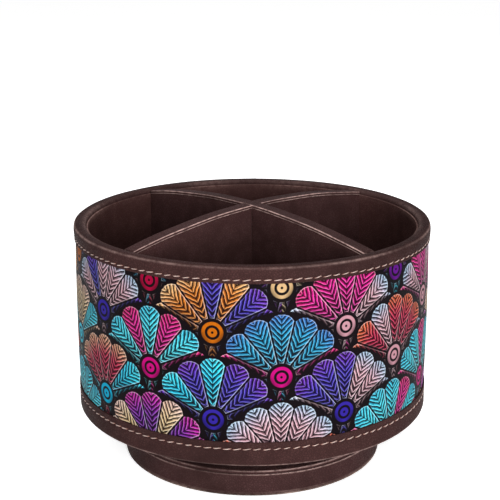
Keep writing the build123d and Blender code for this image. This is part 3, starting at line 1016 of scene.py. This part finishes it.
def lay_floor(side, facing, half_angle):
    """Lining of one compartment.

    Lines run from the sector's apex to its arc. Along a line s goes from near 0 at the apex to 1 at the
    arc on the upper face and back on the lower face, and the arc's angle runs from one divider to the
    other.
    """
    clear = DIVIDER_HALF + LINING_PLAY
    reach = liner_inside - LINING_PLAY
    apex = clear / np.sin(half_angle)
    widest = half_angle - np.arcsin(clear / reach)
    angle = np.linspace(-widest, widest, 40)[:, None]
    s_up = np.linspace(0.02, 0.995, 24)
    s = np.concatenate([s_up, [1.0], s_up[::-1]])[None, :]
    upper = LINING - LINING_SAG * np.sin(pi * s_up)
    height = np.concatenate([upper, [LINING / 2], np.zeros(len(s_up))])[None, :]
    far = reach * np.cos(angle) * s + apex * (1 - s)
    aside = reach * np.sin(angle) * s
    x = far * np.cos(facing) - aside * np.sin(facing)
    y = far * np.sin(facing) + aside * np.cos(facing)
    points = np.stack(np.broadcast_arrays(x, y, floor_top + height), axis=-1)[None]
    lining = skin(f"floor_leather_{side}", points, close_ends=True)
    return dress(lining, liner_leather, "drum", "liner_leather", f"floor_lining_{side}")


for side, facing, half_angle in (
    ("right", 0.0, DIVIDER_TURN),
    ("back", pi / 2, pi / 2 - DIVIDER_TURN),
    ("left", pi, DIVIDER_TURN),
    ("front", -pi / 2, pi / 2 - DIVIDER_TURN),
):
    lay_floor(side, facing, half_angle)

# %% [markdown]
# ## The crossing dividers
#
# Two boards cross in the drum, each covered on both faces, with a narrow strip folded over its arched
# top edge. The strip's lower edges show as a second fine line below the fold. A bevelled box would give
# one highlight, so the strip and the faces are separate pieces with a thin gap between them, and the
# strip's arris and lower edges carry painted highlights. One divider's strip runs through at the top,
# and the other's is in two halves there.

# %% Divider measures
DIVIDER_LEATHER = 0.9
STRIP_DROP = 1.4
STRIP_GAP = 0.2
CROSS_PLAY = 0.1
crown = high_of("divider_two_edge_strip")
divider_reach = np.sqrt((liner_inside - LINING_PLAY) ** 2 - DIVIDER_HALF**2)
end_height = low_of("divider_two_edge_strip") + STRIP_DROP
arch_rise = crown - end_height
arch_radius = (divider_reach**2 + arch_rise**2) / (2 * arch_rise)
cross_gap = DIVIDER_HALF + CROSS_PLAY
print("dividers rise from", round(end_height, 1), "to", crown, "mm, arc radius", round(arch_radius), "mm")


def arch(distance):
    """Height of the top edge: a circle arc that is highest on the axis."""
    return crown - arch_radius + np.sqrt(arch_radius**2 - distance**2)


def place_divider(along, across, height, turn):
    """Points along, across and above a divider, turned about the axis to the divider's own direction."""
    x = along * np.cos(turn) - across * np.sin(turn)
    y = along * np.sin(turn) + across * np.cos(turn)
    return np.stack(np.broadcast_arrays(x, y, height), axis=-1)


def half_lengths(across, turn, steps):
    """Places along the two halves of a divider, from the other one's face to the wall, for each point across.

    The last places at both ends lie close together, so that the shading stays flat up to the corner.
    """
    share = np.concatenate([[0.0, 0.002], np.linspace(0.02, 0.98, steps - 4), [0.998, 1.0]])[:, None]
    lean = np.cos(2 * turn) / np.sin(2 * turn)
    halves = []
    for side in (-1, 1):
        start = side * cross_gap / np.sin(2 * abs(turn)) - across * lean
        halves.append(start + share * (side * divider_reach - start))
    return halves


# %% Divider edge strips
STRIP_ROUND = 0.5
STRIP_HIGHLIGHT = 1.6
STRIP_HIGHLIGHT_WIDTH = 0.2
STRIP_HIGHLIGHT_INSET = 0.12
STRIP_HIGHLIGHT_DROP = 0.18
STRIP_HEM_WIDTH = 0.22
STRIP_WAVE = 0.06
STRIP_WAVE_RUN = 5.3


def edge_strip(name, turn, runs_through):
    """Strip folded over a divider's top edge: a U section carried along the arch, with a slight wave."""
    half = DIVIDER_HALF
    corners = [(half, -STRIP_DROP), (half, 0), (-half, 0), (-half, -STRIP_DROP)]
    line = fold_line(corners, radii=[STRIP_ROUND, STRIP_ROUND], run_steps=[6, 12, 7])
    section, outside = leather_section(line, DIVIDER_LEATHER - GLUE)
    across, drop = section[None, :, 0], section[None, :, 1]
    if runs_through:
        lengths = [np.linspace(-divider_reach, divider_reach, 160)[:, None] + 0 * across]
    else:
        lengths = half_lengths(across, turn, 80)
    shells = []
    for along in lengths:
        height = arch(along) + drop + STRIP_WAVE * np.sin(along / STRIP_WAVE_RUN)
        shells.append(place_divider(along, across, height, turn))
    # Painted highlights: pale lines along both arrises of the strip and along its lower edges.
    from_arris = np.hypot(np.abs(across) - half + STRIP_HIGHLIGHT_INSET, drop + STRIP_HIGHLIGHT_DROP)
    arris, hem = bell(from_arris, STRIP_HIGHLIGHT_WIDTH), bell(drop + STRIP_DROP, STRIP_HEM_WIDTH)
    fold = STRIP_HIGHLIGHT * outside * np.maximum(arris, hem)
    piece = skin(f"{name}_edge_leather", np.stack(shells), close_ends=True, marks={"fold": fold})
    return dress(piece, shaded_leather, "drum", "brown_leather", f"{name}_edge_strip")


edge_strip("divider_one", DIVIDER_TURN, runs_through=False)
edge_strip("divider_two", -DIVIDER_TURN, runs_through=True)

# %% [markdown]
# The leather on a divider's face is glued on and stands a little proud in the middle. A flat quad would
# nearly do, but its top edge, which shows below the strip, is rounded. So its section goes up the face,
# round that edge and down the back.

# %% Divider faces
FACE_PUFF = 0.12


def divider_face(name, turn, side):
    """Leather sheet on one face of a divider, in two halves.

    The section goes up the outer face, round the top edge and down the back. A point's height is its share of
    the way from the floor to the arch, plus a small drop round the top edge.
    """
    inner, outer = DIVIDER_HALF - DIVIDER_LEATHER + GLUE, DIVIDER_HALF
    share_up = np.linspace(0, 1, 22)
    puffed = outer + FACE_PUFF * np.sin(pi * share_up) ** 0.6
    top_edge = [outer - 0.12, outer - 0.4, inner + 0.15]
    across = side * np.concatenate([puffed, top_edge, np.full(8, inner)])[None, :]
    share = np.concatenate([share_up, [1, 1, 1], np.linspace(1, 0, 8)])[None, :]
    drop = np.concatenate([np.zeros(21), [-0.42, -0.14, 0.0, -0.05, -0.3], np.zeros(7)])[None, :]
    shells = []
    for along in half_lengths(across, turn, 70):
        top = arch(along) - STRIP_DROP - STRIP_GAP
        shells.append(place_divider(along, across, floor_top + share * (top - floor_top) + drop, turn))
    label = "left" if side > 0 else "right"
    piece = skin(f"{name}_leather_{label}", np.stack(shells), close_ends=True)
    return dress(piece, shaded_leather, "drum", "brown_leather", f"{name}_face_{label}")


for divider_name, turn in (("divider_one", DIVIDER_TURN), ("divider_two", -DIVIDER_TURN)):
    for face_side in (1, -1):
        divider_face(divider_name, turn, face_side)

# %% [markdown]
# ## The base
#
# The base is a round board under leather. Its cover folds down over the edge, and a strip goes round
# the side up to just below that fold, so two fine lines run round the top of the base. A cylinder with
# a painted line would do from far away, but the step between the two leathers shows. So both are
# sections carried round the axis.

# %% Base cover
BASE_ROUND = 1.2
BASE_HIGHLIGHT = 0.9
BASE_HIGHLIGHT_WIDTH = 0.26
BASE_HIGHLIGHT_INSET = 0.3
BASE_HIGHLIGHT_DROP = 0.35
COVER_HOLE = 2.0
base_radius = high_of("base_side_strip", 0)
base_top = high_of("base_top_cover")
skirt_low = low_of("base_top_cover")
skirt_radius = base_radius - LEATHER
base_angles = round_angles(ROUND_STEPS)

cover_line = fold_line(
    [(skirt_radius, skirt_low), (skirt_radius, base_top), (COVER_HOLE, base_top)],
    radii=[BASE_ROUND],
    run_steps=[8, 30],
)
cover_section, cover_outside = leather_section(cover_line, LEATHER)
# Painted highlight: a pale line along the cover's rounded edge.
cover_aside, cover_above = cover_section[:, 0] - skirt_radius, cover_section[:, 1] - base_top
from_edge = np.hypot(cover_aside + BASE_HIGHLIGHT_INSET, cover_above + BASE_HIGHLIGHT_DROP)
cover_highlight = BASE_HIGHLIGHT * cover_outside * bell(from_edge, BASE_HIGHLIGHT_WIDTH)
base_cover = round_strip("base_cover", cover_section, base_angles, 0.0, cover_highlight)
dress(base_cover, shaded_leather, "base", "brown_leather", "base_top_cover")

# %% Base side strip
BASE_FOOT_ROUND = 0.4
SIDE_HIGHLIGHT_WIDTH = 0.24
LOW_EDGE_HIGHLIGHT = 0.3
LOW_EDGE_HIGHLIGHT_WIDTH = 0.3
LOW_EDGE_HIGHLIGHT_RISE = 0.6
BASE_HEM = 54.0
base_strip_top = high_of("base_side_strip")
base_strip_low = low_of("base_side_strip")

side_line = fold_line(
    [(BASE_HEM, base_strip_low), (base_radius, base_strip_low), (base_radius, base_strip_top)],
    radii=[BASE_FOOT_ROUND],
    run_steps=[6, 22],
)
side_section, side_outside = leather_section(side_line, LEATHER - GLUE)
side_height = side_section[None, :, 1]
side_face = side_outside * (side_height > base_strip_low + BASE_FOOT_ROUND)
side_waves = unevenness(base_angles[:, None], side_height, phase=5.1, amount=0.05)
side_swell = side_face * (side_waves + lapped_joint(base_angles[:, None]))
# Painted highlights: a pale line along the strip's top edge and one along its lower fold.
side_top_highlight = BASE_HIGHLIGHT * bell(side_height - base_strip_top, SIDE_HIGHLIGHT_WIDTH)
side_low_highlight = LOW_EDGE_HIGHLIGHT * bell(side_height - base_strip_low - LOW_EDGE_HIGHLIGHT_RISE, LOW_EDGE_HIGHLIGHT_WIDTH)
side_highlight = side_outside * np.maximum(side_top_highlight, side_low_highlight)
base_strip = round_strip("base_strip", side_section, base_angles, side_swell, side_highlight)
dress(base_strip, shaded_leather, "base", "brown_leather", "base_side_strip")

# %% [markdown]
# A thin soft sheet under the base keeps the holder from sliding, and its cut edge shows as a fine lip.
# A flat disc would do from above, but not for that lip. So the section has a rounded rim, and a step
# that fits inside the hem of the strip. Here the columns go round the axis and the rows along the
# section, so that the two end faces close the small bore.

# %% Foot sheet
PAD_EDGE = 0.25
PAD_CUT_WIDTH = 0.15
PAD_BORE = 0.4
PAD_HEM_PLAY = 0.1
pad_radius = high_of("base_pad", 0)
pad_step = high_of("base_pad")
pad_step_radius = BASE_HEM - PAD_HEM_PLAY
pad_corner = np.linspace(-pi / 2, pi / 2, 9)
pad_rim_r = pad_radius - PAD_EDGE + PAD_EDGE * np.cos(pad_corner)
pad_rim_z = base_strip_low / 2 * (1 + np.sin(pad_corner))
pad_under_r = np.linspace(PAD_BORE, pad_radius - 2 * PAD_EDGE, 24)
pad_over_r = np.linspace(pad_step_radius, PAD_BORE, 10)
pad_profile_r = np.concatenate([pad_under_r, pad_rim_r, [pad_step_radius], pad_over_r])
pad_profile_z = np.concatenate([0 * pad_under_r, pad_rim_z, [base_strip_low], pad_step + 0 * pad_over_r])
pad_section = np.stack([pad_profile_r, pad_profile_z], axis=1)
pad_cut = bell(pad_profile_r - pad_radius, PAD_CUT_WIDTH)
pad_points = ring(pad_section, base_angles, 0.0).swapaxes(1, 2)
foot_sheet = skin("foot_sheet", pad_points, close_ends=True, marks={"fold": pad_cut[:, None]})
sheet_leather = leather(
    "Brown foot sheet", "2a1b18", "3d2924", "503832",
    rub_and_highlight="c4a79b", roughness=0.72, cells=1700.0, bump=0.8,
)
dress(foot_sheet, sheet_leather, "base", "foot_foam", "base_pad")

# %% [markdown]
# ## Everything else
#
# The boards, the bearing and the screws keep their solid shapes, which are right as they are. They show
# only through the gap under the drum and when the holder is turned over. One plain grey would do for
# that, but each still gets the detail of its own stuff. Boards, card and the sheet under the drum are
# all pressed fibres, so one function serves them: noise stretched along the fibres, with finer specks.

# %% Board, card and sheet
def fibrous(name, dark, light, scale, stretch, roughness, bump):
    """Pressed fibres: stretched noise for the fibres, in colour and bump, and a finer one for specks."""
    material, tree, shader = new_material(name)
    place = own_place(tree)
    pulled = add(tree, "Mapping", {"Vector": place, "Scale": stretch}).outputs[0]
    fibres = noise(tree, pulled, scale, detail=5.0, rough=0.65)
    specks = fade(tree, noise(tree, place, scale * 4, detail=2.0), 0.6, 0.72)
    tone = blend(tree, fade(tree, fibres, 0.3, 0.7), paint(dark), paint(light))
    tree.links.new(blend(tree, times(tree, specks, 0.5), tone, paint(dark)), shader["Base Color"])
    tree.links.new(fade(tree, fibres, 0.2, 0.8, roughness, roughness + 0.12), shader["Roughness"])
    set_bump(tree, shader, fibres, bump, depth=0.0003)
    return material


fibreboard = fibrous("Raw fibreboard", "7a5c3a", "a98a60", 900.0, (1.0, 1.0, 2.5), roughness=0.75, bump=0.35)
grey_card = fibrous("Grey card", "6f6a60", "98917f", 700.0, (1.0, 1.0, 0.4), roughness=0.8, bump=0.3)
felted_sheet = fibrous("Underside sheet", "120f0e", "2b2523", 1200.0, (1, 1, 1), roughness=0.9, bump=0.6)
print("fibres:", fibreboard.name, grey_card.name, felted_sheet.name)

# %% [markdown]
# The bearing's plates are zinc-plated steel with faint crystal patches, and its cage and bush are cream
# nylon. An even grey would look like paint, so the patches and a fine brushing set the colour and the
# roughness together.

# %% Metal and nylon
def zinc_plate(name, dark, light, roughness, spangle):
    """Plated steel: crystal patches from cell colours, fine brushing, and a roughness that follows them."""
    material, tree, shader = new_material(name)
    place = own_place(tree)
    patches = add(tree, "TexVoronoi", {"Vector": place, "Scale": spangle}).outputs["Color"]
    patch = add(tree, "SeparateColor", {0: patches}).outputs[0]
    brushed = noise(tree, place, 2600.0, detail=4.0, rough=0.7)
    level = plus(tree, times(tree, patch, 0.5), times(tree, brushed, 0.5))
    tree.links.new(blend(tree, level, paint(dark), paint(light)), shader["Base Color"])
    tree.links.new(fade(tree, level, 0.1, 0.9, roughness, roughness + 0.18), shader["Roughness"])
    set_bump(tree, shader, brushed, strength=0.1, depth=0.0001)
    shader["Metallic"].default_value = 1.0
    return material


def moulded_nylon():
    """Cream nylon: cloudy tone and a fine moulded texture."""
    material, tree, shader = new_material("Moulded nylon")
    place = own_place(tree)
    cloud = noise(tree, place, 140.0, detail=4.0)
    texture = noise(tree, place, 3800.0, detail=2.0)
    tree.links.new(blend(tree, cloud, paint("c9c3b2"), paint("e4dfd0")), shader["Base Color"])
    tree.links.new(fade(tree, texture, 0.2, 0.8, to_low=0.4, to_high=0.58), shader["Roughness"])
    set_bump(tree, shader, texture, strength=0.15, depth=0.0001)
    return material


plated_steel = zinc_plate("Zinc plate", "7d8083", "b9bcbe", roughness=0.3, spangle=130.0)
screw_steel = zinc_plate("Screw plate", "8f8a72", "c4bfa4", roughness=0.28, spangle=600.0)
ball_steel = zinc_plate("Polished balls", "aeb2b6", "d6d9dc", roughness=0.08, spangle=900.0)
nylon = moulded_nylon()
print("bearing and screws:", plated_steel.name, screw_steel.name, ball_steel.name, nylon.name)

# %% Give the solids their materials
SOLID_FINISH = {
    "base_board": fibreboard,
    "mounting_disc": fibreboard,
    "drum_floor_board": fibreboard,
    "drum_wall_board": grey_card,
    "liner_card": grey_card,
    "divider_one_board": grey_card,
    "divider_two_board": grey_card,
    "underside_cover": felted_sheet,
    "bearing_lower_plate": plated_steel,
    "bearing_upper_plate": plated_steel,
    "centre_rivet": plated_steel,
    "bearing_balls": ball_steel,
    "ball_cage": nylon,
    "pivot_bush": nylon,
    "base_screws": screw_steel,
    "drum_screws": screw_steel,
}
for node_name, finish in SOLID_FINISH.items():
    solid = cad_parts[node_name]
    solid.data.materials.clear()
    solid.data.materials.append(finish)
print("solids with a finish:", len(SOLID_FINISH))

# %% [markdown]
# ## Floor, light and camera
#
# The holder stands on a plain pale floor, as in a product picture. A white floor could be had with more
# light, but that would bleach the leather. So the floor adds some light of its own that only camera,
# mirror and glass rays see, and it keeps the holder's shadow.

# %% Floor and world
FLOOR_HALF = 15.0
FLOOR_GLOW = 0.72
SKY_STRENGTH = 0.28


def pale_floor():
    """White floor: diffuse, with some glow that only camera, mirror and glass rays see."""
    material, tree, shader = new_material("Pale floor")
    mottle = noise(tree, own_place(tree), 3.0, detail=2.0)
    tree.links.new(blend(tree, mottle, paint("f4f4f4"), paint("fafafa")), shader["Base Color"])
    shader["Roughness"].default_value = 0.9
    shader["Specular IOR Level"].default_value = 0.1
    rays = add(tree, "LightPath").outputs
    bounced = plus(tree, rays["Is Glossy Ray"], rays["Is Transmission Ray"])
    seen = maths(tree, "MINIMUM", plus(tree, rays["Is Camera Ray"], bounced), 1.0)
    shader["Emission Color"].default_value = (1.0, 1.0, 1.0, 1.0)
    tree.links.new(times(tree, seen, FLOOR_GLOW), shader["Emission Strength"])
    return material


floor_corners = [(FLOOR_HALF * x, FLOOR_HALF * y, 0) for x, y in ((-1, -1), (1, -1), (1, 1), (-1, 1))]
floor_mesh = bpy.data.meshes.new("floor")
floor_mesh.from_pydata(floor_corners, [], [(0, 1, 2, 3)])
floor = bpy.data.objects.new("floor", floor_mesh)
floor.data.materials.append(pale_floor())
bpy.context.scene.collection.objects.link(floor)

world = bpy.data.worlds.new("Soft white")
world.use_nodes = True
sky = world.node_tree.nodes["Background"]
sky.inputs["Color"].default_value = (1.0, 1.0, 1.0, 1.0)
sky.inputs["Strength"].default_value = SKY_STRENGTH
bpy.context.scene.world = world
print("floor", 2 * FLOOR_HALF, "m wide, sky strength", SKY_STRENGTH)

# %% [markdown]
# Four square lamps light the holder softly: a key and a fill from low in front, which reach under the
# rim, one from above, and one behind, so that the back can be seen too. One big lamp would be simpler,
# but the sides would fall dark. All stand at one distance and look at the middle of the drum, so each
# needs only two angles, a size in metres and a power in watts.

# %% Lamps
AIM = np.array([0.0, 0.0, 0.07])
LAMP_DISTANCE = 1.15


def soft_lamp(name, azimuth, elevation, size, power):
    """Square area lamp on a sphere round the object, turned to the middle of the drum.

    The azimuth is counted in degrees from the front towards the right, the elevation from the level up.
    """
    turn, lift = radians(azimuth), radians(elevation)
    lamp = bpy.data.lights.new(name, "AREA")
    lamp.size = size
    lamp.energy = power
    lamp_object = bpy.data.objects.new(name, lamp)
    way = np.array([np.cos(lift) * np.sin(turn), -np.cos(lift) * np.cos(turn), np.sin(lift)])
    lamp_object.location = AIM + LAMP_DISTANCE * way
    lamp_object.rotation_euler = (pi / 2 - lift, 0, turn)
    bpy.context.scene.collection.objects.link(lamp_object)
    print(name, "at", lamp_object.location[:])


soft_lamp("key lamp", azimuth=20, elevation=12, size=0.4, power=9.5)
soft_lamp("fill lamp", azimuth=-20, elevation=14, size=0.8, power=2.6)
soft_lamp("top lamp", azimuth=10, elevation=60, size=0.8, power=3.8)
soft_lamp("back lamp", azimuth=190, elevation=46, size=0.8, power=6.0)

# %% [markdown]
# The camera looks down at the drum from the front with a long lens, from above the rim. It could be
# placed by eye, but the ovals of the rim, the seams and the base give it away, so its place was worked
# out from their curves.

# %% Camera
CAMERA_DISTANCE = 0.5537
CAMERA_HEIGHT = 0.2508
CAMERA_PITCH = 0.2772
CAMERA_AZIMUTH = radians(1.5)
CAMERA_LENS = 90.9
CAMERA_SHIFT = -0.0043
SENSOR = 36.0

camera = bpy.data.objects.new("camera", bpy.data.cameras.new("camera"))
camera.data.sensor_width = SENSOR
camera.data.lens = CAMERA_LENS
camera.data.shift_x = CAMERA_SHIFT
camera.data.clip_start = 0.01
camera_x = CAMERA_DISTANCE * np.sin(CAMERA_AZIMUTH)
camera_y = -CAMERA_DISTANCE * np.cos(CAMERA_AZIMUTH)
camera.location = (camera_x, camera_y, CAMERA_HEIGHT)
camera.rotation_euler = (pi / 2 - CAMERA_PITCH, 0, CAMERA_AZIMUTH)
bpy.context.scene.collection.objects.link(camera)
bpy.context.scene.camera = camera
bpy.context.scene.view_settings.view_transform = "Standard"
print("camera at", camera.location[:])
